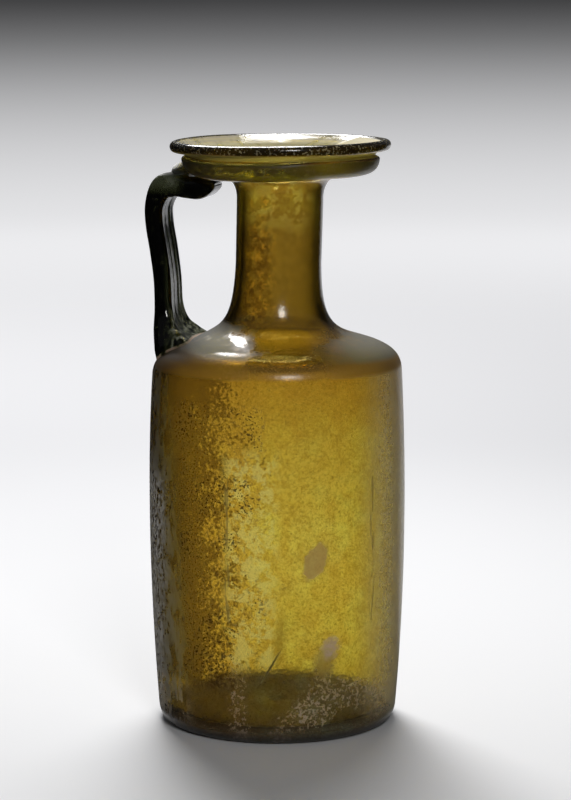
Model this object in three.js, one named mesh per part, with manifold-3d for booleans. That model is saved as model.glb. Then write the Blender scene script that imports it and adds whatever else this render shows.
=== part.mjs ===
// A hand-blown glass jug of the late Roman kind: a tall cylindrical body, a short neck, a dished mouth with a
// folded collar under its rim, and one strap handle drawn from the shoulder to the collar.
// Units are millimetres, +Z is up. The body's axis is the Z axis, the standing ring lies on Z = 0,
// and the handle is on the -X side.
import * as THREE from "three";
import { mergeVertices } from "three/addons/utils/BufferGeometryUtils.js";
import Module from "manifold-3d";

// Driving dimensions of the body
const wall = 2.8;
const kickHeight = 4;
const standingInner = 27;
const standingOuter = 40.5;
const footCorner = 6.2;
const bodyFootRadius = 46.2;
const bodyBellyRadius = 49.5;
const bodyTopRadius = 48.1;
const bodyTop = 137.5;
const shoulderBreak = 147.4;

// Driving dimensions of the neck and the mouth
const neckFoot = 154;
const neckRadius = 16.4;
const neckBore = 13.4;
const neckTop = 203;
const collarBottom = 211.3;
const collarTop = 218.4;
const collarRadius = 38.1;
const jugHeight = 225;
const rimRadius = 42.5;
const rimRoll = 2.1;

// How the soft glass moved while it was worked
const mouthShift = 1.3;
const mouthTilt = 0.009;
const shoulderSag = 2.2;

// Driving dimensions of the handle
const strapThickness = 6.6;
const strapHalfWidth = 10;
const footHalfWidth = 17.5;
const bendMiddle = 207;
const handleReach = 50.2;
const foldLength = 8;
const foldThickness = 6.6;
const foldMiddle = 37.1;
const foldHeight = 212.3;
const foldTilt = 0.12;
const fuseGap = 0.3;

// Facets
const turnSteps = 56;
const curveSteps = 3;
const strapSteps = 40;
const sectionPoints = 18;
const foldSteps = 20;

const wasm = await Module();
wasm.setup();

// The outside of the vessel, from the middle of its underside up to the inner lip of the rim.
function outerSkin() {
  const rollMiddle = jugHeight - rimRoll;
  const belly = bodyBellyRadius + 0.8;
  const skin = new THREE.Path();
  skin.moveTo(0, kickHeight);
  skin.quadraticCurveTo(standingInner * 0.6, kickHeight, standingInner, 0);
  skin.lineTo(standingOuter, 0);
  skin.quadraticCurveTo(bodyFootRadius - 0.6, 0, bodyFootRadius, footCorner);
  skin.bezierCurveTo(belly - 0.5, 50, belly + 0.3, 94, bodyTopRadius, bodyTop);
  skin.bezierCurveTo(47.6, 142.8, 44.6, 145.2, 39, shoulderBreak);
  skin.bezierCurveTo(32, 149.9, 26.6, 150.6, 22.6, neckFoot);
  skin.bezierCurveTo(18.4, 157.6, neckRadius + 0.3, 165, neckRadius, 178);
  skin.lineTo(neckRadius + 0.2, neckTop);
  skin.quadraticCurveTo(neckRadius + 0.5, collarBottom - 1, 23, collarBottom);
  skin.lineTo(31.5, collarBottom);
  skin.bezierCurveTo(36, collarBottom + 0.4, collarRadius - 0.1, 214.4, collarRadius, collarTop - 0.9);
  skin.quadraticCurveTo(collarRadius - 0.2, collarTop, 36.2, collarTop + 0.4);
  skin.quadraticCurveTo(36.4, collarTop + 1.6, 39, rollMiddle - 1.7);
  skin.absarc(rimRadius - rimRoll, rollMiddle, rimRoll, -0.54 * Math.PI, 1.05 * Math.PI, false);
  return skin.getPoints(curveSteps);
}

// The inside of the vessel, from the dish of the mouth down to the middle of the floor.
function innerSkin() {
  const floor = wall + 0.6;
  const belly = bodyBellyRadius + 0.8 - wall;
  const innerFoot = bodyFootRadius - wall;
  const skin = new THREE.Path();
  skin.moveTo(37, jugHeight - 4.2);
  skin.quadraticCurveTo(35.2, 217.4, 31, 215.2);
  skin.bezierCurveTo(24, 212.6, neckBore + 1, 214, neckBore + 0.4, neckTop - 1);
  skin.lineTo(neckBore, 178);
  skin.bezierCurveTo(neckBore + 0.4, 164, 15.4, 155.8, 20.8, 151.2);
  skin.bezierCurveTo(25.4, 147.4, 31, 147, 38, shoulderBreak - 3);
  skin.bezierCurveTo(43.2, 142.4, 45, 141, bodyTopRadius - wall, bodyTop - 2);
  skin.bezierCurveTo(belly + 0.3, 94, belly - 0.5, 50, innerFoot, footCorner + 4);
  skin.quadraticCurveTo(innerFoot - 0.8, floor + 0.4, 35, floor);
  skin.quadraticCurveTo(standingInner * 0.6, kickHeight + floor, 0, kickHeight + floor);
  return skin.getPoints(curveSteps);
}

// Moves one point of the turned shape to where the hand-worked glass has it: the mouth leans away from the handle
// and tips up there, and the shoulder has sunk a little under the handle's foot.
function workedByHand(point) {
  const rise = THREE.MathUtils.smoothstep;
  const towardsMouth = rise(point.z, neckFoot - 8, jugHeight - 8);
  const radius = Math.hypot(point.x, point.y);
  const nearShoulder = rise(point.z, bodyTop - 26, bodyTop + 4) * (1 - rise(point.z, neckFoot + 2, neckFoot + 16));
  const outOnShoulder = rise(radius, 24, 40) * nearShoulder;
  const underHandle = radius > 1 ? Math.max(0, -point.x / radius) ** 4 : 0;
  point.z += mouthTilt * point.x * towardsMouth - shoulderSag * outOnShoulder * underHandle;
  point.x += mouthShift * towardsMouth;
  return point;
}

// Turns a profile of (radius, height) points about the Z axis and works it by hand.
function turned(profile) {
  const geometry = new THREE.LatheGeometry(profile, turnSteps);
  geometry.rotateX(Math.PI / 2);
  const place = geometry.getAttribute("position");
  const point = new THREE.Vector3();
  for (let i = 0; i < place.count; i++) {
    workedByHand(point.fromBufferAttribute(place, i));
    place.setXYZ(i, point.x, point.y, point.z);
  }
  return geometry;
}

// Moves each point of a profile outwards, square to the line through its neighbours.
function grown(profile, distance) {
  return profile.map((p, i) => {
    const before = profile[Math.max(i - 1, 0)];
    const after = profile[Math.min(i + 1, profile.length - 1)];
    const along = new THREE.Vector2().subVectors(after, before).normalize();
    return new THREE.Vector2(p.x === 0 ? 0 : p.x + along.y * distance, p.y - along.x * distance);
  });
}

// The stations of the handle, from its foot on the shoulder to its thin end under the collar. Each holds the middle
// of the strap in side view, as distance from the jug's axis and height, then half its thickness and half its width.
function handleStations() {
  const half = strapThickness / 2;
  const reach = handleReach - half;
  return [
    [36.6, 142.6, 2.5 * half, footHalfWidth],
    [39.8, 147.2, 2 * half, footHalfWidth - 1.5],
    [42.4, 153.2, half + 0.9, 12.6],
    [43.3, 161, half, strapHalfWidth + 0.3],
    [43.5, 171, half - 0.1, strapHalfWidth],
    [44.8, 182, half - 0.1, strapHalfWidth],
    [reach - 0.1, 192, half, strapHalfWidth],
    [reach - 0.2, 199.6, half + 0.3, strapHalfWidth],
    [43.7, bendMiddle - 1.6, half + 0.5, strapHalfWidth],
    [38.8, bendMiddle + 0.4, half + 1.4, strapHalfWidth - 0.4],
    [32, bendMiddle - 0.2, half + 1.5, strapHalfWidth - 1.2],
    [26.4, bendMiddle + 1, half, 8],
    [21.6, bendMiddle + 2.4, 1.9, 6.4],
    [17.5, bendMiddle + 3, 1.4, 5.2],
  ];
}

// A rounded rectangle of half width a and half thickness b, as points round its middle: a superellipse.
function strapSection(a, b) {
  const squareness = 0.62;
  const shaped = (value) => Math.sign(value) * Math.abs(value) ** squareness;
  return Array.from({ length: sectionPoints }, (_, i) => {
    const turn = (2 * Math.PI * (i + 0.5)) / sectionPoints;
    return new THREE.Vector2(a * shaped(Math.cos(turn)), b * shaped(Math.sin(turn)));
  });
}

// The triangles of a closed tube: a ring of faces between each two sections, and a fan over both ends.
function tubeFaces(steps, around) {
  const index = [];
  for (let i = 0; i < steps; i++) {
    for (let j = 0; j < around; j++) {
      const here = i * around + j;
      const beside = i * around + ((j + 1) % around);
      index.push(here, beside, here + around, beside, beside + around, here + around);
    }
  }
  const last = steps * around;
  for (let j = 1; j < around - 1; j++) {
    index.push(0, j + 1, j);
    index.push(last, last + j, last + j + 1);
  }
  return index;
}

// Sweeps the section along the stations, square to the curve through their middles.
function sweptStrap(stations) {
  const smooth = (points) => new THREE.CatmullRomCurve3(points, false, "centripetal");
  const middles = smooth(stations.map(([out, up]) => new THREE.Vector3(-out, 0, up)));
  const sizes = smooth(stations.map(([, , half, halfWidth]) => new THREE.Vector3(halfWidth, half, 0)));
  const places = [];
  for (let i = 0; i <= strapSteps; i++) {
    const middle = middles.getPoint(i / strapSteps);
    const along = middles.getTangent(i / strapSteps);
    const size = sizes.getPoint(i / strapSteps);
    for (const p of strapSection(size.x, size.y)) {
      places.push(middle.x - along.z * p.y, p.x, middle.z + along.x * p.y);
    }
  }
  const geometry = new THREE.BufferGeometry();
  geometry.setAttribute("position", new THREE.Float32BufferAttribute(places, 3));
  geometry.setIndex(tubeFaces(strapSteps, sectionPoints));
  return geometry;
}

// The end of the strap, folded back on itself: a flat lump that lies on the bend, against the collar's edge.
function foldedEnd() {
  const lump = new THREE.SphereGeometry(1, foldSteps, foldSteps / 2);
  lump.scale(foldLength / 2, strapHalfWidth - 1.4, foldThickness / 2);
  lump.rotateY(foldTilt);
  lump.translate(-foldMiddle, 0, foldHeight);
  return lump;
}

// Makes a manifold solid of a closed geometry.
function solidOf(geometry) {
  const bare = new THREE.BufferGeometry();
  bare.setAttribute("position", geometry.getAttribute("position"));
  bare.setIndex(geometry.index);
  const merged = mergeVertices(bare, 1e-3);
  const mesh = new wasm.Mesh({
    numProp: 3,
    vertProperties: merged.attributes.position.array,
    triVerts: new Uint32Array(merged.index.array),
  });
  return new wasm.Manifold(mesh);
}

// Makes a geometry of a manifold solid.
function geometryOf(solid) {
  const mesh = solid.getMesh();
  const geometry = new THREE.BufferGeometry();
  geometry.setAttribute("position", new THREE.BufferAttribute(mesh.vertProperties, 3));
  geometry.setIndex(new THREE.BufferAttribute(mesh.triVerts, 1));
  geometry.computeVertexNormals();
  return geometry;
}

function makeVessel() {
  const amberGlass = new THREE.MeshStandardMaterial({ color: 0x8a7420, roughness: 0.35, metalness: 0 });
  const vessel = new THREE.Mesh(turned([...outerSkin(), ...innerSkin()]), amberGlass);
  vessel.name = "vessel";
  return vessel;
}

// The handle is cut to the outside of the vessel, which is filled in and grown by the gap.
function makeHandle() {
  const oliveGlass = new THREE.MeshStandardMaterial({ color: 0x23281a, roughness: 0.08, metalness: 0 });
  const filled = [...grown(outerSkin(), fuseGap), new THREE.Vector2(0, jugHeight + fuseGap)];
  const blank = solidOf(sweptStrap(handleStations())).add(solidOf(foldedEnd()));
  const fitted = blank.subtract(solidOf(turned(filled)));
  const handle = new THREE.Mesh(geometryOf(fitted), oliveGlass);
  handle.name = "handle";
  return handle;
}

const jug = new THREE.Group();
jug.add(makeVessel(), makeHandle());

export default jug;
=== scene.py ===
# %% [markdown]
# A hand-blown glass jug, about seventeen centuries old
#
# The real jug was blown from amber glass, and its handle was drawn from a second, dense olive gather. Long
# burial left a weathered skin on it: a grey film, brown stain, pits, and patches where the film has flaked
# off again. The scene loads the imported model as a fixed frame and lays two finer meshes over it, one for
# the vessel and one for the handle. Nearly all of the likeness then comes from three things: true glass
# walls, the pattern of the weathering, and a bright floor behind the jug for the light to come through
# from.

import bpy
import numpy as np
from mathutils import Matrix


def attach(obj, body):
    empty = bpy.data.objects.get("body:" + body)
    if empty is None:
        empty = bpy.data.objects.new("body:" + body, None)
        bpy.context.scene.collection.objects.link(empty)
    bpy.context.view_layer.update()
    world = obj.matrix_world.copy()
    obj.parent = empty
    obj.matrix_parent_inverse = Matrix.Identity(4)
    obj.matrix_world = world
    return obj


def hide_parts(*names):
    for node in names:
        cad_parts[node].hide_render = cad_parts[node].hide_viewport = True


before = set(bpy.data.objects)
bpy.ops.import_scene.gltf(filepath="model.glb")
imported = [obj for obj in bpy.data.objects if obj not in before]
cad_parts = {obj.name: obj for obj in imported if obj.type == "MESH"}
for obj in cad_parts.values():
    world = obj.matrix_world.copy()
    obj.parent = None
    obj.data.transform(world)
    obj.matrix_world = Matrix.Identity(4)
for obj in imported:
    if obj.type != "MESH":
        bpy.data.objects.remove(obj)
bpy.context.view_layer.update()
MM = 0.001

# %% [markdown]
# The camera comes first. The photograph was taken with a long lens from a little above the mouth, so the
# camera stands over a metre away and looks down by about nine degrees. The handle lies on the -X side, and
# the camera is turned 14 degrees from a square side view, so that it sees a little of the strap's inner
# face. Everything that is placed by the photograph uses the same three directions: right, away and up.

# %% Camera
VIEW_TURN = np.radians(14)
CAMERA_DISTANCE = 1.10615
CAMERA_HEIGHT = 0.29645
CAMERA_SIDE = 0.0032
CAMERA_PITCH = np.radians(8.824)
LENS_MM = 130.83
RIGHT = np.array([np.cos(VIEW_TURN), np.sin(VIEW_TURN), 0])
AWAY = np.array([-np.sin(VIEW_TURN), np.cos(VIEW_TURN), 0])
UP = np.array([0, 0, 1])


def from_view(right, away, up):
    """A point in the row's frame, from its metres to the right, away and up as the photograph sees them."""
    return right * RIGHT + away * AWAY + up * UP


camera = bpy.data.objects.new("camera", bpy.data.cameras.new("camera"))
camera.data.lens = LENS_MM
camera.data.sensor_width = 36
camera.data.clip_end = 100
camera.location = from_view(CAMERA_SIDE, -CAMERA_DISTANCE, CAMERA_HEIGHT)
camera.rotation_euler = (np.pi / 2 - CAMERA_PITCH, 0, VIEW_TURN)
bpy.context.scene.collection.objects.link(camera)
bpy.context.scene.camera = camera
bpy.context.scene.view_settings.view_transform = "Standard"
print("camera at", [round(v, 3) for v in camera.location])

# %% [markdown]
# Meshes are worked out as whole numpy arrays. A skin is a grid of points whose columns run round the piece
# and whose rows run along it, and the rows at both ends are closed by a fan to one point.

# %% Grid helpers
def bezier(points, steps):
    """Points along a Bezier curve, its control points weighted by their Bernstein terms, without the last."""
    points = np.array(points, float)
    t = (np.arange(steps) / steps)[:, None]
    if len(points) == 2:
        terms = [1 - t, t]
    elif len(points) == 3:
        terms = [(1 - t) ** 2, 2 * t * (1 - t), t**2]
    else:
        terms = [(1 - t) ** 3, 3 * t * (1 - t) ** 2, 3 * t**2 * (1 - t), t**3]
    return sum(term * point for term, point in zip(terms, points))


def smooth_step(value, start, full):
    """0 below start, 1 above full, and the cubic 3t^2 - 2t^3 between them."""
    t = np.clip((value - start) / (full - start), 0, 1)
    return t * t * (3 - 2 * t)


def closed_skin(name, grid, marks=None):
    """A mesh from a (rows, columns, 3) grid in millimetres, closed round its columns and at both ends.

    marks gives a number for every grid point by name, such as 1 on the outside, which materials read back.
    """
    rows, columns = grid.shape[:2]
    start, end = grid[0].mean(axis=0), grid[-1].mean(axis=0)
    points = np.concatenate([grid.reshape(-1, 3), [start, end]]) * MM
    index = np.arange(rows * columns).reshape(rows, columns)
    beside = np.roll(index, -1, axis=1)
    quads = np.stack([index[:-1], beside[:-1], beside[1:], index[1:]], axis=-1).reshape(-1, 4)
    low_fan = np.stack([np.full(columns, rows * columns), beside[0], index[0]], axis=-1)
    high_fan = np.stack([np.full(columns, rows * columns + 1), index[-1], beside[-1]], axis=-1)
    mesh = bpy.data.meshes.new(name)
    mesh.from_pydata(points.tolist(), [], quads.tolist() + low_fan.tolist() + high_fan.tolist())
    mesh.polygons.foreach_set("use_smooth", np.ones(len(mesh.polygons), bool))
    for mark, values in (marks or {}).items():
        ends = [values[0].mean(), values[-1].mean()]
        layer = mesh.attributes.new(mark, "FLOAT", "POINT")
        layer.data.foreach_set("value", np.concatenate([values.ravel(), ends]).astype(np.float32))
    piece = bpy.data.objects.new(name, mesh)
    bpy.context.scene.collection.objects.link(piece)
    print(name, "has", 2 * len(quads) + 2 * columns, "triangles")
    return piece

# %% [markdown]
# The vessel is one wall of glass with an outside and an inside, so its outline goes up the outside from the
# middle of the underside and comes down the inside to the middle of the floor. The outline is a chain of
# Bezier curves on the CAD's own points, only divided more finely. A wall with two faces matters here: light
# that crosses two faces bends back to its old direction, while at the sides it runs a long way inside the
# glass and comes out dark.

# %% The vessel's outline
JUG_HEIGHT = 225
WALL = 2.8
KICK_HEIGHT = 4
STANDING_INNER = 27
STANDING_OUTER = 40.5
FOOT_CORNER = 6.2
BODY_FOOT_RADIUS = 46.1
BELLY = 50
BODY_TOP_RADIUS = 47.9
BODY_TOP = 137.5
SHOULDER_BREAK = 147.4
NECK_FOOT = 154
NECK_RADIUS = 16.3
NECK_BORE = 13.4
NECK_TOP = 203
COLLAR_BOTTOM = 211.3
COLLAR_TOP = 218.4
COLLAR_RADIUS = 37.9
RIM_RADIUS = 42.2
RIM_ROLL = 2.1


KICK_POINTS, STANDING_POINTS = 14, 5


def outer_outline():
    """(radius, height) points up the outside, ending on the inner side of the rolled rim, which is an arc."""
    roll_middle = JUG_HEIGHT - RIM_ROLL
    turn = np.linspace(-0.54, 0.62, 18)[:, None] * np.pi
    roll = np.hstack([RIM_RADIUS - RIM_ROLL + RIM_ROLL * np.cos(turn), roll_middle + RIM_ROLL * np.sin(turn)])
    corner = (BODY_FOOT_RADIUS, FOOT_CORNER)
    body_top = (BODY_TOP_RADIUS, BODY_TOP)
    shoulder = (39, SHOULDER_BREAK)
    neck_foot = (22.6, NECK_FOOT)
    neck_low = (NECK_RADIUS, 178)
    neck_top = (NECK_RADIUS + 0.2, NECK_TOP)
    under_collar = (23, COLLAR_BOTTOM)
    collar_low = (31.5, COLLAR_BOTTOM)
    collar_edge = (COLLAR_RADIUS, COLLAR_TOP - 0.9)
    groove = (36.2, COLLAR_TOP + 0.4)
    return np.concatenate([
        bezier([(0.4, KICK_HEIGHT), (STANDING_INNER * 0.6, KICK_HEIGHT), (STANDING_INNER, 0)], KICK_POINTS),
        bezier([(STANDING_INNER, 0), (STANDING_OUTER, 0)], STANDING_POINTS),
        bezier([(STANDING_OUTER, 0), (BODY_FOOT_RADIUS - 0.6, 0), corner], 9),
        bezier([corner, (BELLY - 0.5, 50), (BELLY + 0.3, 94), body_top], 52),
        bezier([body_top, (47.5, 142.8), (44.5, 145.2), shoulder], 16),
        bezier([shoulder, (32, 149.9), (26.6, 150.6), neck_foot], 16),
        bezier([neck_foot, (18.4, 157.6), (NECK_RADIUS + 0.3, 165), neck_low], 20),
        bezier([neck_low, neck_top], 14),
        bezier([neck_top, (NECK_RADIUS + 0.5, COLLAR_BOTTOM - 1), under_collar], 14),
        bezier([under_collar, collar_low], 5),
        bezier([collar_low, (36, COLLAR_BOTTOM + 0.4), (COLLAR_RADIUS - 0.1, 214.4), collar_edge], 14),
        bezier([collar_edge, (COLLAR_RADIUS - 0.2, COLLAR_TOP), groove], 6),
        bezier([groove, (36.4, COLLAR_TOP + 1.6), (39, roll_middle - 1.7)], 7),
        roll,
    ])


def inner_outline():
    """(radius, height) points down the inside, from the dish of the mouth to the middle of the floor."""
    floor = WALL + 0.6
    inner_foot = (BODY_FOOT_RADIUS - WALL, FOOT_CORNER + 4)
    lip = (34.2, 221.2)
    dish = (30.2, 216)
    bore_top = (NECK_BORE + 0.4, NECK_TOP - 1)
    bore_low = (NECK_BORE, 178)
    under_shoulder = (20.8, 151.2)
    shoulder = (38, SHOULDER_BREAK - 3)
    body_top = (BODY_TOP_RADIUS - WALL, BODY_TOP - 2)
    return np.concatenate([
        bezier([(38.8, JUG_HEIGHT - 0.5), lip], 8),
        bezier([lip, (32.9, 219.6), dish], 8),
        bezier([dish, (24, 212.6), (NECK_BORE + 1, 214), bore_top], 20),
        bezier([bore_top, bore_low], 10),
        bezier([bore_low, (NECK_BORE + 0.4, 164), (15.4, 155.8), under_shoulder], 18),
        bezier([under_shoulder, (25.4, 147.4), (31, 147), shoulder], 10),
        bezier([shoulder, (43.2, 142.4), (45, 141), body_top], 10),
        bezier([body_top, (BELLY + 0.3 - WALL, 94), (BELLY - 0.5 - WALL, 50), inner_foot], 34),
        bezier([inner_foot, (BODY_FOOT_RADIUS - WALL - 0.8, floor + 0.4), (35, floor)], 8),
        bezier([(35, floor), (STANDING_INNER * 0.6, KICK_HEIGHT + floor), (0.4, KICK_HEIGHT + floor)], 12),
    ])


outline = np.concatenate([outer_outline(), inner_outline()])
on_outside = (np.arange(len(outline)) < len(outer_outline())).astype(float)
print("the outline has", len(outline), "points, up to", round(outline[:, 1].max(), 1), "mm")

# %% [markdown]
# Turned on its own, the outline would look like lathe work. Blown glass never is: the body is a little out
# of round, the mouth leans and tips, the shoulder sank under the hot handle, and the folded collar wanders
# up and down because it was pressed by hand. Each of these is a small wave of the angle round the jug,
# added to the grid.

# %% The vessel's skin
COLUMNS = 250
MOUTH_SHIFT = 1.3
MOUTH_TILT = 0.009
SHOULDER_SAG = 2.2


def worked_by_hand(points):
    """The large moves that the CAD has too: the mouth's lean and tip, and the sag under the handle."""
    x, y, z = points[..., 0], points[..., 1], points[..., 2]
    radius = np.maximum(np.hypot(x, y), 1)
    towards_mouth = smooth_step(z, NECK_FOOT - 8, JUG_HEIGHT - 8)
    above = smooth_step(z, BODY_TOP - 26, BODY_TOP + 4)
    near_shoulder = above * (1 - smooth_step(z, NECK_FOOT + 2, NECK_FOOT + 16))
    sunk = SHOULDER_SAG * smooth_step(radius, 24, 40) * near_shoulder * np.maximum(0, -x / radius) ** 4
    tipped = MOUTH_TILT * x * towards_mouth
    return np.stack([x + MOUTH_SHIFT * towards_mouth, y, z + tipped - sunk], axis=-1)


def hand_waves(radius, height, angle):
    """Changes of radius and height in mm: sums of slow cosines of the angle, each kept to its own zone."""
    body = smooth_step(height, 4, 30) * (1 - smooth_step(height, 128, 146))
    out_of_round = body * (0.1 * np.cos(2 * angle + 0.7) + 0.06 * np.cos(3 * angle - height / 30))
    neck = smooth_step(height, 158, 172) * (1 - smooth_step(height, 200, 208))
    neck_wave = neck * 0.12 * np.cos(2 * angle - 1 + height / 25)
    collar = smooth_step(height, 210.6, 212) * (1 - smooth_step(height, 219, 220))
    collar = collar * smooth_step(radius, 27, 34)
    collar_out = collar * (0.22 * np.cos(2 * angle + 2.1) + 0.16 * np.cos(5 * angle))
    pressed = 0.45 * np.cos(2 * angle + 0.4) + 0.3 * np.cos(3 * angle + 2.4) + 0.12 * np.cos(7 * angle)
    collar_up = collar * pressed
    rim = smooth_step(height, 219.6, 221.5) * smooth_step(radius, 36, 39)
    rim_out = rim * (0.16 * np.cos(3 * angle + 1) - 0.14)
    rim_up = rim * (0.14 * np.cos(2 * angle + 1.2) + 0.06 * np.cos(5 * angle) - 0.2)
    return out_of_round + neck_wave + collar_out + rim_out, collar_up + rim_up


def vessel_grid(profile, columns):
    """The profile turned about Z: x = r cos a, y = r sin a, with the hand waves, then the large moves."""
    angle = np.arange(columns) / columns * 2 * np.pi
    radius, height = profile[:, :1], profile[:, 1:]
    wider, higher = hand_waves(radius, height, angle)
    turned = np.stack([
        (radius + wider) * np.cos(angle),
        (radius + wider) * np.sin(angle),
        np.broadcast_to(height + higher, (len(profile), columns)),
    ], axis=-1)
    return worked_by_hand(turned)


outside_mark = np.repeat(on_outside[:, None], COLUMNS, axis=1)
vessel = closed_skin("vessel_glass", vessel_grid(outline, COLUMNS), {"outside": outside_mark})

# %% [markdown]
# The handle was one hot gather. It was pressed on the shoulder, pulled up, bent over under the collar, and
# its end was folded back on top. Pulling leaves a strap with a thick rounded rib along each edge and a thin
# web between them, scored by fine lines along its length. A section that is dumb-bell shaped, carried along
# a curve through a few stations, gives all of that, and it spreads at the foot because its width and
# thickness grow there.

# %% The handle's path
STRAP_HALF = 3.5
STRAP_HALF_WIDTH = 10
FOOT_HALF_WIDTH = 17.3
HANDLE_REACH = 50.4
BEND_MIDDLE = 207
STRAP_ROWS = 260


def handle_stations():
    """Rows of (distance out, height, half thickness, half width, hollow of the web from 0 to 1)."""
    half = STRAP_HALF
    reach = HANDLE_REACH - half
    return np.array([
        (36.6, 142.6, 8.2, FOOT_HALF_WIDTH, 0.0),
        (39.6, 147.2, 6.4, FOOT_HALF_WIDTH - 1.7, 0.15),
        (42, 152.6, half + 1.1, 12.8, 0.25),
        (43.1, 160, half + 0.1, STRAP_HALF_WIDTH + 0.4, 0.25),
        (43.6, 171, half, STRAP_HALF_WIDTH, 0.22),
        (45, 182, half, STRAP_HALF_WIDTH, 0.2),
        (reach - 0.3, 192, half, STRAP_HALF_WIDTH, 0.22),
        (reach - 0.3, 199.6, half + 0.2, STRAP_HALF_WIDTH, 0.2),
        (43.6, BEND_MIDDLE - 0.9, half + 1.1, STRAP_HALF_WIDTH, 0.1),
        (38.6, BEND_MIDDLE + 0.5, half + 1.3, STRAP_HALF_WIDTH - 0.4, 0.0),
        (33.6, BEND_MIDDLE - 0.6, half + 0.7, STRAP_HALF_WIDTH - 1, 0.0),
        (29.4, BEND_MIDDLE - 0.6, half + 0.9, 9, 0.0),
        (26.2, BEND_MIDDLE + 0.6, half, 8.2, 0.0),
        (24.2, BEND_MIDDLE + 2.2, 2, 6.6, 0.0),
        (21.4, BEND_MIDDLE + 3, 1.2, 5.4, 0.0),
        (17.9, BEND_MIDDLE + 3.3, 1.1, 4.6, 0.0),
    ])


def through_stations(stations, rows):
    """A Catmull-Rom curve: each stretch is a cubic through its two ends, sloped by their neighbours."""
    padded = np.vstack([2 * stations[0] - stations[1], stations, 2 * stations[-1] - stations[-2]])
    place = np.linspace(0, len(stations) - 1.0001, rows)
    i = place.astype(int)
    t = (place - i)[:, None]
    a, b, c, d = padded[i], padded[i + 1], padded[i + 2], padded[i + 3]
    return 0.5 * (2 * b + (c - a) * t + (2 * a - 5 * b + 4 * c - d) * t**2 + (3 * b - a - 3 * c + d) * t**3)


path = through_stations(handle_stations(), STRAP_ROWS)
furthest, highest = path[:, :2].max(axis=0).round(1)
print("the strap's path reaches", furthest, "mm out and", highest, "mm up")

# %% The handle's section
SIDE_POINTS, ARC_POINTS, FACE_POINTS = 4, 11, 30
RIB_RADIUS = 3.2


def round_the_rectangle():
    """A small circle carried round a rectangle: at each point two signs for its middle, and its angle."""
    middle_across, middle_through, angle = [], [], []
    corners = [(1, 1), (-1, 1), (-1, -1), (1, -1)]
    before = [(1, -1)] + corners[:3]
    for turn, (corner, last, points) in enumerate(zip(corners, before, (SIDE_POINTS, FACE_POINTS) * 2)):
        t = np.arange(points) / points
        middle_across += [last[0] + (corner[0] - last[0]) * t, np.full(ARC_POINTS, corner[0])]
        middle_through += [last[1] + (corner[1] - last[1]) * t, np.full(ARC_POINTS, corner[1])]
        angle += [np.full(points, turn / 2), turn / 2 + np.arange(ARC_POINTS) / ARC_POINTS / 2]
    return np.concatenate(middle_across), np.concatenate(middle_through), np.concatenate(angle) * np.pi


def strap_section(half, half_width, hollow, along):
    """Across and through positions round the strap: a rounded rectangle, thinned and lightly scored."""
    middle_across, middle_through, angle = round_the_rectangle()
    rib = np.minimum(0.9 * half, RIB_RADIUS)
    across = middle_across * (half_width - rib) + rib * np.cos(angle)
    through = middle_through * (half - rib) + rib * np.sin(angle)
    from_middle = across / half_width
    web = 1 - hollow * (1 - smooth_step(np.abs(from_middle), 0.2, 0.75))
    wide_scores = 0.1 * np.cos(from_middle * 15 + 0.8 * np.sin(along * 9))
    scores = wide_scores + 0.07 * np.cos(from_middle * 27 + 5 * along)
    return across, through * web * (1 + scores * hollow * (1 - smooth_step(np.abs(from_middle), 0.6, 0.85)))


print("the section has", len(round_the_rectangle()[0]), "points")

# %% The handle's skin
FUSE_DEPTH = 0.6
SAG_TOP = NECK_FOOT + 16


def strap_grid():
    """The section set square to the path at every row: out and up along the path's normal, across along Y."""
    out, up, half, half_width, hollow = path.T
    slope = np.gradient(path[:, :2], axis=0)
    slope /= np.linalg.norm(slope, axis=1, keepdims=True)
    along = np.linspace(0, 1, STRAP_ROWS)[:, None]
    across, through = strap_section(half[:, None], half_width[:, None], hollow[:, None], along)
    x = -(out[:, None] + through * -slope[:, 1:])
    z = up[:, None] + through * slope[:, :1]
    return np.stack([x, np.broadcast_to(across, x.shape), z], axis=-1)


def seated(points, profile, depth):
    """Moves every point that lies deeper than depth inside the vessel's outside out to that depth.

    In the plane of radius and height it finds the nearest point of the outline, and the outline's normal
    there. It also gives every point's height over the vessel, which the crust along the seam is painted by.
    """
    towards_mouth = smooth_step(points[..., 2], NECK_FOOT - 8, JUG_HEIGHT - 8)
    x = points[..., 0] - MOUTH_SHIFT * towards_mouth
    y, z = points[..., 1], points[..., 2]
    radius = np.hypot(x, y)
    sunk = SHOULDER_SAG * smooth_step(radius, 24, 40) * np.maximum(0, -x / radius) ** 4 * (z < SAG_TOP)
    level = z - MOUTH_TILT * x * towards_mouth + sunk
    slope = np.gradient(profile, axis=0)
    normal = np.stack([slope[:, 1], -slope[:, 0]], axis=1) / np.linalg.norm(slope, axis=1, keepdims=True)
    flat = np.stack([radius, level], axis=-1).reshape(-1, 2)
    gap = flat[:, None, :] - profile[None]
    nearest = (gap**2).sum(axis=2).argmin(axis=1)
    height_over = (gap[np.arange(len(flat)), nearest] * normal[nearest]).sum(axis=1)
    push = (np.maximum(0, -depth - height_over)[:, None] * normal[nearest]).reshape(*radius.shape, 2)
    scale = (radius + push[..., 0]) / radius
    moved = np.stack([points[..., 0] + x * (scale - 1), y * scale, z + push[..., 1]], axis=-1)
    return moved, np.maximum(height_over, -depth).reshape(radius.shape)


outside = outer_outline()[KICK_POINTS + STANDING_POINTS:]
strap, strap_height = seated(strap_grid(), outside, FUSE_DEPTH)
handle = closed_skin("handle_glass", strap[:, ::-1], {"over_vessel": strap_height[:, ::-1]})

# %% [markdown]
# The end of the gather was cut and folded back on the bend, against the edge of the collar. It is a flat
# lump with round ends, so it is an ellipsoid whose surface is pushed in and out by a slow wave.

# %% The folded end
FOLD_LENGTH = 8
FOLD_THICKNESS = 6.6
FOLD_MIDDLE = 37.1
FOLD_HEIGHT = 212.3


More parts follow.
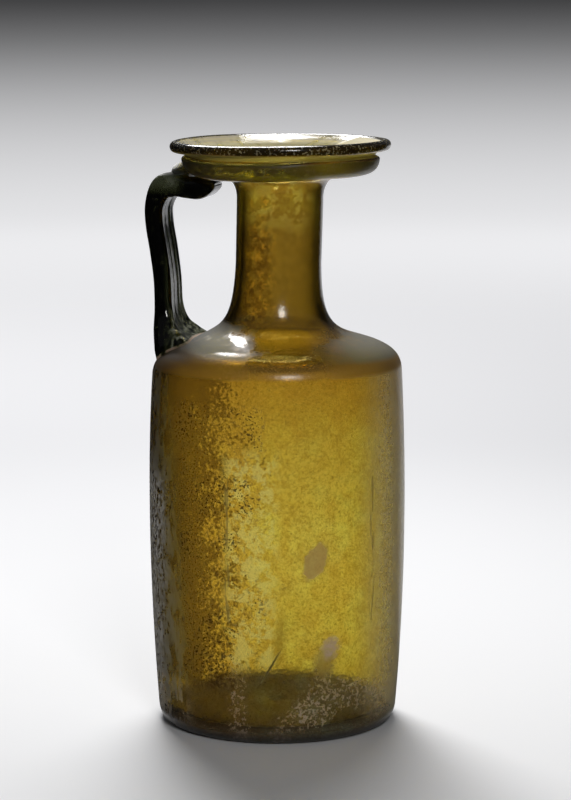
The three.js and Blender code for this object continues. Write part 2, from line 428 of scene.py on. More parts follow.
def fold_grid(rows=48, columns=72):
    """An ellipsoid as latitude and longitude, its poles at both ends of Y, with a wave of 4% on it."""
    north = (np.arange(rows) + 0.5)[:, None] / rows * np.pi
    round_it = np.arange(columns) / columns * 2 * np.pi
    wave = 1 + 0.04 * np.cos(2 * round_it + 3 * north) * np.sin(north)
    side = np.sin(north) ** 0.8 * wave
    y = -(STRAP_HALF_WIDTH - 1.5) * np.cos(north) * np.ones(columns)
    x = -FOLD_MIDDLE + FOLD_LENGTH / 2 * side * np.cos(round_it)
    z = FOLD_HEIGHT + FOLD_THICKNESS / 2 * side * np.sin(round_it)
    return np.stack([x, y, z], axis=-1)


lump, lump_height = seated(fold_grid(), outside, FUSE_DEPTH)
fold = closed_skin("handle_fold", lump, {"over_vessel": lump_height})

# %% [markdown]
# Materials are built with one small function that adds a node. Colours are given as the hex values that a
# picture editor shows, and one function turns them into the linear values that the renderer works with.
#
# A deposit needs a mask, which is a number from 0 to 1 that says how much of it lies at each point. Masks
# are made of very few kinds of node, and these have short names here. "zone" is a Map Range that rises
# smoothly from 0 where its value is start to 1 where it is full, and start may be the larger one. "times"
# is the product of its inputs, "either" is the largest of them, and "minus" is the first less the second.
# "shifted" moves its third input by the first times the second, which makes the edge of a zone ragged or
# slanted.

# %% Material helpers
def linear(hex_colour):
    """An sRGB hex colour as linear RGBA: a channel is divided by 12.92 when dark, else raised to 2.4."""
    value = np.array([int(hex_colour[i:i + 2], 16) for i in (1, 3, 5)]) / 255
    channels = np.where(value <= 0.04045, value / 12.92, ((value + 0.055) / 1.055) ** 2.4)
    return (*channels.tolist(), 1)


SHORT_NAMES = {
    "zone": ("ShaderNodeMapRange", {"interpolation_type": "SMOOTHSTEP"}),
    "times": ("ShaderNodeMath", {"operation": "MULTIPLY"}),
    "either": ("ShaderNodeMath", {"operation": "MAXIMUM"}),
    "minus": ("ShaderNodeMath", {"operation": "SUBTRACT"}),
    "shifted": ("ShaderNodeMath", {"operation": "MULTIPLY_ADD"}),
    "noise": ("ShaderNodeTexNoise", {}),
    "mix numbers": ("ShaderNodeMix", {}),
    "mix colours": ("ShaderNodeMix", {"data_type": "RGBA"}),
}


def add(tree, kind, inputs=(), out=0, **settings):
    """Adds a node, sets its settings, fills or links its inputs, and gives back one of its outputs.

    Inputs are a tuple in the order of the sockets, or a dict by their names or numbers. Where "times" or
    "either" has more than two of them, it becomes a chain of nodes. With out=None the node itself comes
    back.
    """
    if kind in ("times", "either") and len(inputs) > 2:
        inputs = (add(tree, kind, inputs[:-1]), inputs[-1])
    node_type, usual = SHORT_NAMES.get(kind, (kind, {}))
    new = tree.nodes.new(node_type)
    for name, value in {**usual, **settings}.items():
        setattr(new, name, value)
    by_socket = inputs if isinstance(inputs, dict) else dict(enumerate(inputs))
    for socket, value in by_socket.items():
        if isinstance(value, bpy.types.NodeSocket):
            tree.links.new(value, new.inputs[socket])
        else:
            new.inputs[socket].default_value = value
    return new if out is None else new.outputs[out]


def new_material(name):
    """An empty node tree, and in it Object coordinates in millimetres, turned to the photograph's view."""
    material = bpy.data.materials.new(name)
    material.use_nodes = True
    tree = material.node_tree
    tree.nodes.clear()
    place = add(tree, "ShaderNodeTexCoord", out="Object")
    view = {"Vector": place, "Rotation": (0, 0, -VIEW_TURN), "Scale": (1 / MM, 1 / MM, 1 / MM)}
    return material, tree, add(tree, "ShaderNodeMapping", view)


# %% Patina helpers
# A Mix node's sockets for numbers and for colours have the same names, so they go by number here.
MASK, NUMBER_UNDER, NUMBER_OVER = 0, 2, 3
COLOUR_UNDER, COLOUR_OVER, COLOUR_OUT = 6, 7, 2


def between(tree, value, low, high, soft):
    """1 where value lies between low and high, falling to 0 over soft on both sides."""
    above = add(tree, "zone", (value, low - soft, low))
    below = add(tree, "zone", (value, high + soft, high))
    return add(tree, "times", (above, below))


def blotches(tree, where, size, start, full, detail=3, shift=(0, 0, 0), stretch=(1, 1, 1), rough=0.55):
    """A mask of blotches about size millimetres across: noise above start, fully on above full."""
    scaled = tuple(s / size for s in stretch)
    moved = add(tree, "ShaderNodeMapping", {"Vector": where, "Location": shift, "Scale": scaled})
    noise = add(tree, "noise", {"Vector": moved, "Scale": 1, "Detail": detail, "Roughness": rough})
    return add(tree, "zone", (noise, start, full))


def oval(tree, where, middle, size, lean, edge=0.25):
    """A mask of one oval spot: middle and size in millimetres right and up, and its lean in degrees.

    The way from the middle to a point, divided by half the size each way, is 1 long on the edge of the
    oval.
    """
    flat = add(tree, "ShaderNodeVectorMath", (where, (1, 0, 1)), operation="MULTIPLY")
    moved = add(tree, "ShaderNodeVectorMath", (flat, (middle[0], 0, middle[1])), operation="SUBTRACT")
    turned = add(tree, "ShaderNodeMapping", {"Vector": moved, "Rotation": (0, np.radians(lean), 0)})
    over_half = (2 / size[0], 1, 2 / size[1])
    shrunk = add(tree, "ShaderNodeVectorMath", (turned, over_half), operation="MULTIPLY")
    way = add(tree, "ShaderNodeVectorMath", (shrunk,), out="Value", operation="LENGTH")
    return add(tree, "zone", (way, 1 + edge, 1 - edge))


def lay(tree, surface, mask, strength, colour, stops, rough):
    """One deposit laid over a surface, as old * (1 - m) + new * m, where m is its mask times its strength.

    A surface is its colour, the share of light that it stops, and its roughness.
    """
    if strength < 1:
        mask = add(tree, "times", (mask, strength))
    over = linear(colour) if isinstance(colour, str) else colour
    colours = {MASK: mask, COLOUR_UNDER: surface["colour"], COLOUR_OVER: over}
    return {
        "colour": add(tree, "mix colours", colours, out=COLOUR_OUT),
        "stops": add(tree, "mix numbers", {MASK: mask, NUMBER_UNDER: surface["stops"], NUMBER_OVER: stops}),
        "rough": add(tree, "mix numbers", {MASK: mask, NUMBER_UNDER: surface["rough"], NUMBER_OVER: rough}),
    }


def finish_glass(tree, surface, bump, ior, absorb, density):
    """Ends a glass material. Light that the surface doesn't stop goes in, and a medium takes out more.

    What the medium leaves of each colour channel after d metres is e to the power -density * (1 - channel)
    * d.
    """
    shader = add(tree, "ShaderNodeBsdfPrincipled", {
        "Base Color": surface["colour"],
        "Roughness": surface["rough"],
        "IOR": ior,
        "Transmission Weight": add(tree, "minus", (1, surface["stops"])),
        "Normal": bump,
    })
    inside = add(tree, "ShaderNodeVolumeAbsorption", {"Color": linear(absorb), "Density": density})
    add(tree, "ShaderNodeOutputMaterial", {"Surface": shader, "Volume": inside}, out=None)

# %% [markdown]
# Two layers are painted light: pale spots on the collar are painted glints, and a dark band at the foot is
# painted shade.
# Old amber glass, free-blown, so that its surface is as smooth as the melt left it wherever nothing lies on
# it. The glass itself is yellow-green from iron, and its colour comes from the depth of glass that light
# crosses: pale through the thin wall, dark olive along it and in the folded collar. That part is Volume
# Absorption with plain values. The amber and brown are deposits on the outside, laid one over the other
# like washes: a thin warm film everywhere, brown stain with dark specks on the left, frost at the sides and
# the shoulder, two scars, and chalky crust near the foot. Every deposit has a colour, stops some light and
# has a roughness.
#
# The blotches have the sizes of the real ones, in millimetres. Only the grain, pinholes, specks, chalk and
# dust are drawn coarser, 0.6 to 2.2 mm wide. The real ones are mostly finer than a pixel of the picture,
# which covers about 0.4 mm of the jug, so they would not show.

# %% The film and the stain on the body
def film_on_the_body(tree, mm, right, up, surface):
    """The thin warm film: a slow change from amber to yellow, mottles of 5 mm and 1 mm, and pinholes."""
    cloud = blotches(tree, mm, 24, 0.4, 0.6, detail=2, shift=(3, 1, 7), rough=0.62)
    from_left, from_top = add(tree, "zone", (right, -24, 2)), add(tree, "zone", (up, 130, 100))
    yellow = add(tree, "times", (from_left, from_top, add(tree, "either", (cloud, 0.5))))
    surface = lay(tree, surface, yellow, 1, "#FFF8C2", 0.06, 0.12)
    surface = lay(tree, surface, add(tree, "zone", (up, 108, 134)), 0.5, "#C08A48", 0.04, 0.16)
    mottle = blotches(tree, mm, 5, 0.42, 0.6, rough=0.78)
    surface = lay(tree, surface, mottle, 0.45, "#C89450", 0.05, 0.16)
    grain = blotches(tree, mm, 1.1, 0.45, 0.62, detail=1, shift=(4, 4, 9), rough=0.65)
    surface = lay(tree, surface, grain, 0.4, "#9A6E32", 0.08, 0.2)
    pinholes = blotches(tree, mm, 0.6, 0.62, 0.72, detail=1, shift=(7, 1, 2))
    return lay(tree, surface, pinholes, 0.7, "#3E2812", 0.3, 0.3)


def brown_stain(tree, mm, right, away, up, surface):
    """Stain on the left of the front with a ragged right edge, pale flakes where it fell, and dark specks."""
    ragged = add(tree, "noise", {"Vector": mm, "Scale": 0.09, "Detail": 3, "Roughness": 0.72})
    spray = add(tree, "noise", {"Vector": mm, "Scale": 0.9, "Detail": 0})
    edge = add(tree, "shifted", (spray, 34, add(tree, "shifted", (ragged, 44, right))))
    front = add(tree, "zone", (away, 6, -12))
    stain = add(tree, "times", (add(tree, "zone", (edge, 27, 13)), between(tree, up, 24, 150, 5), front))
    surface = lay(tree, surface, stain, 0.9, "#4A2C16", 0.1, 0.25)
    flaked = blotches(tree, mm, 6, 0.48, 0.53, detail=4, shift=(1, 6, 4), rough=0.86)
    column, height = between(tree, right, -16, -3, 6), between(tree, up, 34, 108, 8)
    flakes = add(tree, "times", (flaked, column, height, front))
    surface = lay(tree, surface, flakes, 0.95, "#FFFAC0", 0.2, 0.16)
    dots = blotches(tree, mm, 1, 0.57, 0.62, detail=1, rough=0.7)
    clusters = blotches(tree, mm, 15, 0.46, 0.58, detail=0, shift=(5, 5, 1))
    column, height = between(tree, right, -34, -8, 7), between(tree, up, 28, 126, 6)
    specks = add(tree, "times", (dots, add(tree, "either", (clusters, 0.35)), column, height, front))
    return lay(tree, surface, specks, 0.9, "#1C0E06", 0.5, 0.4)


# %% The film on the neck and the mouth
def film_on_the_neck(tree, mm, right, up, radius, surface):
    """A thin film, brown speckle and orange spots on its left, and cream patches just under the collar."""
    neck = add(tree, "times", (between(tree, up, 157, NECK_TOP, 6), add(tree, "zone", (radius, 26, 22))))
    surface = lay(tree, surface, neck, 0.85, "#A08254", 0.06, 0.16)
    speckle = blotches(tree, mm, 3, 0.44, 0.54, detail=3, rough=0.8, shift=(6, 2, 2))
    mostly_left = add(tree, "either", (add(tree, "zone", (right, 3, -7)), 0.25))
    brown = add(tree, "times", (neck, speckle, mostly_left, add(tree, "zone", (up, 200, 190))))
    surface = lay(tree, surface, brown, 0.8, "#5E3410", 0.06, 0.2)
    clear = blotches(tree, mm, 3, 0.52, 0.6, detail=2, rough=0.75, shift=(1, 2, 8))
    orange = add(tree, "times", (neck, clear, add(tree, "zone", (right, 2, -5))))
    surface = lay(tree, surface, orange, 0.6, "#F0B860", 0.03, 0.14)
    patches = blotches(tree, mm, 5, 0.48, 0.55, detail=2, rough=0.75, shift=(2, 9, 5))
    near_top = between(tree, up, NECK_TOP, 211, 18)
    cream = add(tree, "times", (patches, near_top, add(tree, "zone", (radius, 30, 24))))
    return lay(tree, surface, cream, 0.7, "#EEDD9A", 0.12, 0.2)


def film_on_the_mouth(tree, mm, right, up, radius, surface):
    """An olive collar with painted glints on its left, a pale groove over it, a dark rim, and dust on both.
    """
    wave = add(tree, "noise", {"Vector": mm, "Scale": 0.06, "Detail": 0})
    level = add(tree, "shifted", (wave, 1.6, up))
    out = add(tree, "zone", (radius, 33, 35.5))
    collar = add(tree, "times", (between(tree, level, 211.4, 218.7, 0.5), out))
    surface = lay(tree, surface, collar, 0.88, "#686F2C", 0.08, 0.45)
    groove = add(tree, "times", (between(tree, up, 219, 221, 0.4), out))
    surface = lay(tree, surface, groove, 1, "#E0D084", 0.12, 0.5)
    rim = add(tree, "times", (add(tree, "zone", (up, 221, 221.8)), out))
    surface = lay(tree, surface, rim, 0.95, "#1E1E0C", 0.05, 0.14)
    # Painted glints: pale yellow-green spots on the collar's left, where it shines with light through the
    # glass.
    light = blotches(tree, mm, 6, 0.46, 0.56, detail=1, stretch=(1, 1, 2), shift=(4, 1, 6))
    height, column = between(tree, level, 214.4, 216.6, 0.8), between(tree, right, -26, 6, 9)
    surface = lay(tree, surface, add(tree, "times", (light, height, column, out)), 0.8, "#F0F07A", 0.03, 0.2)
    dust = blotches(tree, mm, 1, 0.58, 0.64, detail=1, rough=0.75)
    dusty = add(tree, "either", (rim, add(tree, "times", (collar, 0.3))))
    return lay(tree, surface, add(tree, "times", (dust, dusty)), 0.7, "#B8AE86", 0.6, 0.6)


# %% The frost
def frost_on_the_sides(tree, mm, right, up, surface):
    """Grey streaks down the left side, white flecks along its edge, and thin warm frost at the right."""
    on_body = between(tree, up, 2, 146, 4)
    streaks = blotches(tree, mm, 5, 0.42, 0.58, detail=2, stretch=(1.6, 1.6, 0.5), rough=0.8, shift=(2, 8, 3))
    slanted = add(tree, "shifted", (up, 0.07, right))
    left = add(tree, "times", (add(tree, "zone", (slanted, -29, -39)), streaks, on_body))
    surface = lay(tree, surface, left, 0.85, "#B0A898", 0.5, 0.45)
    flecks = blotches(tree, mm, 1.6, 0.44, 0.56, detail=2, stretch=(1, 1, 0.8), rough=0.8)
    along_edge = add(tree, "zone", (right, -39, -46))
    film = add(tree, "times", (along_edge, flecks, between(tree, up, 12, 92, 18)))
    surface = lay(tree, surface, film, 0.9, "#FBF6EC", 0.9, 0.7)
    thin = blotches(tree, mm, 2, 0.36, 0.6, detail=1, rough=0.75)
    at_right = add(tree, "zone", (right, 28, 47))
    warm = add(tree, "times", (at_right, on_body, add(tree, "either", (thin, 0.7))))
    return lay(tree, surface, warm, 0.85, "#D8C8A4", 0.5, 0.4)


def frost_on_the_shoulder(tree, mm, torn, right, up, surface):
    """A brown film on the shoulder's turn, and grey frost above it but for two polished spots."""
    wobble = add(tree, "ShaderNodeVectorMath", (torn, (2.4, 2.4, 1.2), mm), operation="MULTIPLY_ADD")
    spot = oval(tree, wobble, (-13.4, 151.9), (7.6, 3.6), -20)
    low_spot = oval(tree, mm, (-17.5, 147.2), (11, 1.2), 0, edge=0.5)
    polished = add(tree, "either", (spot, low_spot))
    surface = lay(tree, surface, between(tree, up, 140, 143.5, 1.5), 0.62, "#A87C2E", 0.26, 0.3)
    worn = add(tree, "either", (add(tree, "zone", (right, -9, -15)), add(tree, "zone", (right, 16, 26))))
    unpolished = add(tree, "minus", (1, polished))
    turn = add(tree, "times", (worn, between(tree, up, 140, 149, 2), unpolished))
    surface = lay(tree, surface, turn, 0.7, "#A87C2E", 0.26, 0.62)
    drift = add(tree, "noise", {"Vector": mm, "Scale": 0.14, "Detail": 2, "Roughness": 0.7})
    adrift = add(tree, "shifted", (drift, 30, right))
    sides = add(tree, "either", (add(tree, "zone", (adrift, 11, -6)), add(tree, "zone", (adrift, 26, 50))))
    height = between(tree, add(tree, "shifted", (right, 0.05, up)), 146.4, 154, 2)
    soft = blotches(tree, mm, 7, 0.12, 0.4, detail=1, rough=0.7)
    hardly_polished = add(tree, "minus", (1, add(tree, "times", (polished, 0.9))))
    frosted = add(tree, "times", (sides, height, soft, hardly_polished))
    return lay(tree, surface, frosted, 1, "#948F78", 0.2, 0.7)


# %% Scratches, scars and crust
def scratches_and_scars(tree, mm, torn, right, up, front, surface):
    """Fine upright scratches, a scar, a low scar with a brown tail, a brown smudge and a dark crack."""
    lines = blotches(tree, mm, 1.2, 0.5, 0.6, detail=0, stretch=(1, 1, 0.12))
    left, far_right = between(tree, right, -19, -18, 0.8), between(tree, right, 35.4, 36.2, 0.8)
    columns = add(tree, "either", (left, far_right))
    scratches = add(tree, "times", (columns, lines, between(tree, up, 50, 100, 8), front))
    surface = lay(tree, surface, scratches, 0.7, "#77694F", 0.3, 0.4)

    wobble = add(tree, "ShaderNodeVectorMath", (torn, (3, 3, 3), mm), operation="MULTIPLY_ADD")
    scar = oval(tree, wobble, (16, 72.6), (8, 14.5), -20, edge=0.2)
    surface = lay(tree, surface, add(tree, "times", (scar, front)), 0.8, "#A88672", 0.4, 0.4)
    tail = oval(tree, wobble, (19.4, 34), (8, 15), -10, edge=0.4)
    surface = lay(tree, surface, add(tree, "times", (tail, front)), 0.7, "#8E7250", 0.28, 0.35)
    low_scar = oval(tree, wobble, (21.6, 39), (6.4, 8.6), -16, edge=0.45)
    torn_off = blotches(tree, mm, 1.6, 0.45, 0.55, detail=1, rough=0.8)
    patchy = add(tree, "times", (low_scar, front, add(tree, "either", (torn_off, 0.5))))
    surface = lay(tree, surface, patchy, 1, "#CEB4A8", 0.6, 0.6)
    smudge = oval(tree, wobble, (2.5, 43), (4, 17), -8, edge=0.8)
    surface = lay(tree, surface, add(tree, "times", (smudge, front)), 0.6, "#7A5220", 0.1, 0.25)
    crack = oval(tree, mm, (-2.6, 30.6), (0.8, 15), -30, edge=0.5)
    return lay(tree, surface, add(tree, "times", (crack, front)), 0.9, "#1E160C", 0.4, 0.4)


def crust_and_painted_shade_at_the_foot(tree, mm, torn, up, front, surface):
    """A dark line low on the foot, which is painted shade, then chalk in a clump, a band to its right and two
    drips.
    """
    # Painted shade: the glass is made nearly black from 8 mm down to the foot.
    surface = lay(tree, surface, add(tree, "zone", (up, 8, 2)), 0.92, "#0F0C06", 0.4, 0.4)
    ragged = add(tree, "ShaderNodeVectorMath", (torn, (9, 9, 9), mm), operation="MULTIPLY_ADD")
    clump = oval(tree, ragged, (17, 18), (17, 12), 20, edge=0.6)
    band = add(tree, "times", (oval(tree, ragged, (32, 23), (34, 11), -14, edge=0.7), 0.6))
    drip = add(tree, "times", (oval(tree, ragged, (-10, 17), (6, 34), 4, edge=0.8), 0.65))
    low_drip = add(tree, "times", (oval(tree, ragged, (6, 10), (6, 10), 0, edge=0.6), 0.6))
    lumps = add(tree, "either", (clump, band, drip, low_drip))
    chalk = blotches(tree, mm, 1.4, 0.48, 0.64, detail=2, rough=0.85, shift=(3, 3, 8))
    crust = add(tree, "times", (lumps, add(tree, "either", (chalk, 0.12)), front))
    return lay(tree, surface, crust, 0.9, "#CCB6A6", 0.8, 0.75)

# %% [markdown]
# A film is a thin layer, so light crosses more of it where the layer is seen aslant, and it looks denser
# there. The darkening is also painted shade, for the dark edges that the glass shows at its sides. Layer
# Weight's Facing says how far a point is turned away from whoever looks, from any side. The inside of the
# jug was less weathered: it is clear, but for a pale film in the dish of the mouth, and a dark film on the
# floor, which is painted shade.

# %% Weathered amber glass
AMBER_IOR = 1.51
AMBER_DENSITY = 430


def film_aslant_and_painted_edge_shade(tree, right, up, surface):
    """Painted edge shade: darkens the film's colour with the angle it is seen at, most on the neck, less at
    the sides.
    """
    facing = add(tree, "ShaderNodeLayerWeight", {"Blend": 0.5}, out="Facing")
    on_neck = add(tree, "times", (add(tree, "zone", (facing, 0.06, 0.46)), between(tree, up, 158, 206, 6)))
    at_left = add(tree, "zone", (right, 10, -10))
    on_left = add(tree, "times", (add(tree, "zone", (facing, 0.34, 0.62)), at_left, 0.6))
    at_right = add(tree, "zone", (right, -10, 10))
    on_right = add(tree, "times", (add(tree, "zone", (facing, 0.4, 0.7)), at_right, 0.2))
    mask = add(tree, "times", (add(tree, "either", (on_neck, on_left, on_right)), 0.96))
    colours = {MASK: mask, COLOUR_UNDER: surface["colour"], COLOUR_OVER: linear("#241F12")}
    return {**surface, "colour": add(tree, "mix colours", colours, out=COLOUR_OUT)}


def inner_surface(tree, mm, right, up):
    """Clear glass, then a pale film in the dish, a dull patch in it, the dark lip, and painted shade on the
    floor.
    """
    surface = {"colour": linear("#FFFDF2"), "stops": 0.0, "rough": 0.06}
    pale = blotches(tree, mm, 5, 0.15, 0.55, detail=1, rough=0.65)
    dish = add(tree, "times", (add(tree, "zone", (up, 208, 214)), pale))
    surface = lay(tree, surface, dish, 1, "#E6DECA", 0.5, 0.14)
    slanted = add(tree, "zone", (add(tree, "shifted", (up, -2.7, right)), -575.5, -573))
    at_right, above = add(tree, "zone", (right, 14, 20)), add(tree, "zone", (up, 219, 220.5))
    surface = lay(tree, surface, add(tree, "times", (slanted, at_right, above)), 1, "#DDD2AC", 0.7, 0.75)
    surface = lay(tree, surface, add(tree, "zone", (up, 224.1, 224.5)), 0.95, "#1E1E0C", 0.05, 0.2)
    # Painted shade: a dark, rough film darkens the floor of the jug from 7.8 mm down.
    return lay(tree, surface, add(tree, "zone", (up, 7.8, 6.8)), 0.9, "#564524", 0.55, 0.6)


def weathered_amber_glass():
    """Lays the deposits on the outside in their order, puts the inner surface inside, and adds pits."""
    material, tree, mm = new_material("weathered_amber_glass")
    right, away, up = add(tree, "ShaderNodeSeparateXYZ", (mm,), out=None).outputs
    flat = add(tree, "ShaderNodeVectorMath", (mm, (1, 1, 0)), operation="MULTIPLY")
    radius = add(tree, "ShaderNodeVectorMath", (flat,), out="Value", operation="LENGTH")
    front = add(tree, "zone", (away, 0, -6))
    torn = add(tree, "noise", {"Vector": mm, "Scale": 0.5, "Detail": 1}, out="Color")

    surface = {"colour": linear("#F3CE92"), "stops": 0.02, "rough": 0.1}
    surface = film_on_the_body(tree, mm, right, up, surface)
    surface = brown_stain(tree, mm, right, away, up, surface)
    surface = film_on_the_neck(tree, mm, right, up, radius, surface)
    surface = film_on_the_mouth(tree, mm, right, up, radius, surface)
    surface = frost_on_the_sides(tree, mm, right, up, surface)
    surface = frost_on_the_shoulder(tree, mm, torn, right, up, surface)
    surface = scratches_and_scars(tree, mm, torn, right, up, front, surface)
    surface = crust_and_painted_shade_at_the_foot(tree, mm, torn, up, front, surface)
    surface = film_aslant_and_painted_edge_shade(tree, right, up, surface)

    outside = add(tree, "ShaderNodeAttribute", out="Fac", attribute_name="outside")
    inside = add(tree, "minus", (1, outside))
    surface = lay(tree, surface, inside, 1, **inner_surface(tree, mm, right, up))
    pits = add(tree, "noise", {"Vector": mm, "Scale": 0.8, "Detail": 0})
    pitted = add(tree, "times", (pits, outside))
    bump = add(tree, "ShaderNodeBump", {"Height": pitted, "Strength": 0.2, "Distance": 0.2 * MM})
    finish_glass(tree, surface, bump, AMBER_IOR, "#E8E400", AMBER_DENSITY)
    return material

# %% [markdown]
# The handle's glass is the same kind, but dense with iron and thick, so that it is all but black with an
# olive glow at thin edges. It shines, except for a grey bloom of fine streaks on the web and the foot, a grey
# bloom on the bend that is partly a painted highlight, and a thin line of pinkish crust where it meets the
# vessel. The crust reads each point's height over the vessel from the mesh.

# %% Dark olive glass
OLIVE_IOR = 1.52
OLIVE_DENSITY = 900


def dark_olive_glass():
    """Clear olive glass, bloom on the inner face, bloom and painted highlight on the bend, a dull end, dust,
    seam crust.
    """
    material, tree, mm = new_material("dark_olive_glass")
    right, _, up = add(tree, "ShaderNodeSeparateXYZ", (mm,), out=None).outputs
    surface = {"colour": linear("#7C8646"), "stops": 0.0, "rough": 0.06}
    streaks = blotches(tree, mm, 3, 0.4, 0.66, detail=2, stretch=(1.4, 1.4, 0.12), rough=0.6)
    inner_face = add(tree, "zone", (right, -44, -39))
    mostly_low = add(tree, "either", (add(tree, "zone", (up, 172, 152)), 0.6))
    bloom = add(tree, "times", (streaks, inner_face, mostly_low, add(tree, "zone", (up, 202, 198))))
    surface = lay(tree, surface, bloom, 0.8, "#A8A89C", 0.6, 0.3)
    # Grey bloom on top of the bend, which is also a painted highlight where the bend shines.
    patchy = add(tree, "either", (blotches(tree, mm, 6, 0.3, 0.6), 0.6))
    high, outward = add(tree, "zone", (up, 203, 209)), add(tree, "zone", (right, -34, -41))
    bend_bloom_and_painted_highlight = add(tree, "times", (high, outward, patchy))
    surface = lay(tree, surface, bend_bloom_and_painted_highlight, 0.75, "#8E927E", 0.42, 0.4)
    surface = lay(tree, surface, add(tree, "zone", (up, 210.6, 212)), 1, "#4C4E3C", 0.3, 0.8)
    dust = blotches(tree, mm, 2.2, 0.6, 0.72, detail=3)
    surface = lay(tree, surface, dust, 0.25, "#8A8A78", 0.4, 0.3)
    height_over = add(tree, "ShaderNodeAttribute", out="Fac", attribute_name="over_vessel")
    close = add(tree, "zone", (height_over, 1.1, 0.5))
    broken = blotches(tree, mm, 4, 0.34, 0.5, rough=0.7)
    seam = add(tree, "times", (close, add(tree, "zone", (up, 170, 165)), broken))
    surface = lay(tree, surface, seam, 0.85, "#A88672", 0.8, 0.7)

    ripple = add(tree, "noise", {"Vector": mm, "Scale": 0.3, "Detail": 1})
    bump = add(tree, "ShaderNodeBump", {"Height": ripple, "Strength": 0.2, "Distance": 0.5 * MM})
    finish_glass(tree, surface, bump, OLIVE_IOR, "#56661F", OLIVE_DENSITY)
    return material

# %% [markdown]
# Each piece now gets its glass. All three ride on the one body that the jug has, and the CAD nodes that they
# were laid over are hidden. The two pieces of the handle share one material, as they were one gather of
# glass.

# %% Putting the materials on the pieces
vessel.data.materials.append(weathered_amber_glass())
olive = dark_olive_glass()
handle.data.materials.append(olive)
fold.data.materials.append(olive)

for piece in (vessel, handle, fold):
    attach(piece, "root")
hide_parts("vessel")
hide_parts("handle")
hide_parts("handle")
for piece in (vessel, handle):
    material = piece.data.materials[0]
    print(piece.name, "is made of", material.name, "with", len(material.node_tree.nodes), "nodes")

# %% [markdown]
# The stage is one very wide floor, so wide that the camera sees nothing above it, as on a studio sweep. Its
# brightness near the jug comes from the lights. Further out it glows a little by itself, because the lights
# do not reach that far and the glass needs something bright behind it, and the glow dies away to a dark far
# end. The paper is painted dark there too, as shade.

# %% Floor
FLOOR_RADIUS = 40
GLOW = 0.9
GLOW_HALVED_AT = 4370
GLOW_FALL = 2.2
LIT_UP_TO, GLOWING_FROM = 570, 2000


def pale_floor_material():
    """White paper, greyer and then dark further out, with a glow that is faded in where the lights end.
    The dark far out is painted shade, for light that has fallen off there.

    At distance d the full glow is GLOW / (1 + (d / GLOW_HALVED_AT) ^ GLOW_FALL), with distances in
    millimetres.
    """
    material, tree, mm = new_material("pale_paper")
    distance = add(tree, "ShaderNodeVectorMath", (mm,), out="Value", operation="LENGTH")
    share = add(tree, "ShaderNodeMath", (distance, GLOW_HALVED_AT), operation="DIVIDE")
    power = add(tree, "ShaderNodeMath", (share, GLOW_FALL), operation="POWER")
    over_one = add(tree, "ShaderNodeMath", (power, 1), operation="ADD")
    falling = add(tree, "ShaderNodeMath", (GLOW, over_one), operation="DIVIDE")
    glow = add(tree, "times", (falling, add(tree, "zone", (distance, LIT_UP_TO, GLOWING_FROM))))
    paper = linear("#E0E0E1")
    # The second step paints shade: far out the paper turns dark, where the light has fallen off.
    for colour, start, full in (("#C0C0C2", 60, 700), ("#3C3C3E", 2500, 9000)):
        further = add(tree, "zone", (distance, start, full))
        colours = {MASK: further, COLOUR_UNDER: paper, COLOUR_OVER: linear(colour)}
        paper = add(tree, "mix colours", colours, out=COLOUR_OUT)
    surface = add(tree, "ShaderNodeBsdfPrincipled", {
        "Base Color": paper,
        "Roughness": 0.85,
        "Specular IOR Level": 0.2,
        "Emission Color": linear("#FCFCFE"),
        "Emission Strength": glow,
    })
    add(tree, "ShaderNodeOutputMaterial", {"Surface": surface}, out=None)
    return material


def floor_disc(rows=60, columns=96):
    """Rings whose radius grows as the square of the row, flat on the plane that the jug stands on."""
    radius = (np.arange(rows) / (rows - 1) * 0.99 + 0.01)[:, None] ** 2 * FLOOR_RADIUS / MM
    angle = np.arange(columns) / columns * 2 * np.pi
    x, y = radius * np.cos(angle), radius * np.sin(angle)
    mesh = bpy.data.meshes.new("floor")
    points = np.stack([x, y, 0 * x], axis=-1).reshape(-1, 3) * MM
    index = np.arange(rows * columns).reshape(rows, columns)
    beside = np.roll(index, -1, axis=1)
    quads = np.stack([index[:-1], index[1:], beside[1:], beside[:-1]], axis=-1).reshape(-1, 4)
    mesh.from_pydata(points.tolist(), [], quads.tolist() + [index[0].tolist()])
    floor = bpy.data.objects.new("floor", mesh)
    bpy.context.scene.collection.objects.link(floor)
    return floor


floor = floor_disc()
floor.data.materials.append(pale_floor_material())
print("the floor has", len(floor.data.polygons), "faces and reaches", FLOOR_RADIUS, "m out")

# %% [markdown]
# Glass shows what is around it. A photographer who wants its edges dark puts black card round it, just out
# of view. Here the card is one sheet that lies round the foot and turns up at its rim. It is open only at
# the back, from 16 degrees left to 40 degrees right, so that the bright paper there still shows in the
# glass, and only reflections can see it.

# %% Black card
CARD_INNER = 0.048
CARD_RADIUS = 0.36
CARD_HEIGHT = 0.3
CARD_LEFT, CARD_RIGHT = np.radians(16), np.radians(40)


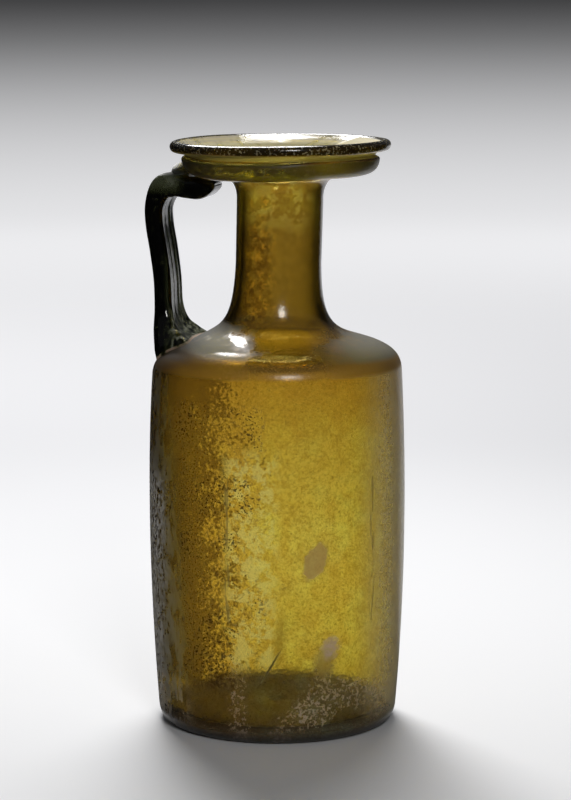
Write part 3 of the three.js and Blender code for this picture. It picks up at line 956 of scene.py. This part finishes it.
def black_card(columns=64):
    """Three arcs, for inner edge, fold and top, from CARD_RIGHT of away round to CARD_LEFT of it."""
    angle = np.linspace(CARD_RIGHT, 2 * np.pi - CARD_LEFT, columns)
    arc = np.sin(angle)[:, None] * RIGHT + np.cos(angle)[:, None] * AWAY
    lying = 0.002 * UP
    inner, folded = CARD_INNER * arc + lying, CARD_RADIUS * arc + lying
    points = np.concatenate([inner, folded, CARD_RADIUS * arc + CARD_HEIGHT * UP])
    index = np.arange(columns - 1)
    quads = np.stack([index, index + 1, index + 1 + columns, index + columns], axis=-1)
    mesh = bpy.data.meshes.new("black_card")
    mesh.from_pydata(points.tolist(), [], quads.tolist() + (quads + columns).tolist())
    card = bpy.data.objects.new("black_card", mesh)
    bpy.context.scene.collection.objects.link(card)
    for ray in ("camera", "diffuse", "transmission", "volume_scatter", "shadow"):
        setattr(card, "visible_" + ray, False)
    return card


def black_paper():
    """Matt black paper, the same all over."""
    material, tree, _ = new_material("black_paper")
    surface = add(tree, "ShaderNodeBsdfPrincipled", {"Base Color": linear("#141414"), "Roughness": 0.9})
    add(tree, "ShaderNodeOutputMaterial", {"Surface": surface}, out=None)
    return material


card = black_card()
card.data.materials.append(black_paper())
print("the card has", len(card.data.polygons), "faces")

# %% [markdown]
# Two soft lights, as in the photograph: a long one behind and above, to the left, which lights the paper,
# shines through the jug and shows as white shapes in the dish of the mouth and on the shoulder, and a small
# one in front, above the camera, which makes the round spots on the neck and under the shoulder. The room
# itself is nearly dark.

# %% Lights
from mathutils import Quaternion, Vector


def softbox(name, place, size, radiance, turn=0, aim=(0, 0, 0.12)):
    """A rectangular light that faces aim, turned about its own axis. Its power is radiance * area * pi."""
    light = bpy.data.lights.new(name, "AREA")
    light.shape = "RECTANGLE"
    light.size, light.size_y = size
    light.energy = radiance * size[0] * size[1] * np.pi
    lamp = bpy.data.objects.new(name, light)
    lamp.location = place
    facing = (Vector(place) - Vector(aim)).to_track_quat("Z", "Y")
    lamp.rotation_euler = (facing @ Quaternion((0, 0, 1), np.radians(turn))).to_euler()
    lamp.visible_camera = False
    bpy.context.scene.collection.objects.link(lamp)


softbox("back_softbox", place=from_view(-0.1, 0.73, 1.1), size=(0.4, 0.94), radiance=19, turn=25)
softbox("front_softbox", place=from_view(0.32, -1.55, 1.02), size=(0.38, 0.44), radiance=16)

ROOM_STRENGTH = 0.1
world = bpy.data.worlds.new("dim_room")
bpy.context.scene.world = world
world.use_nodes = True
background = world.node_tree.nodes["Background"]
background.inputs["Color"].default_value = linear("#DADCE0")
background.inputs["Strength"].default_value = ROOM_STRENGTH
print("lights:", [light.name for light in bpy.data.lights])
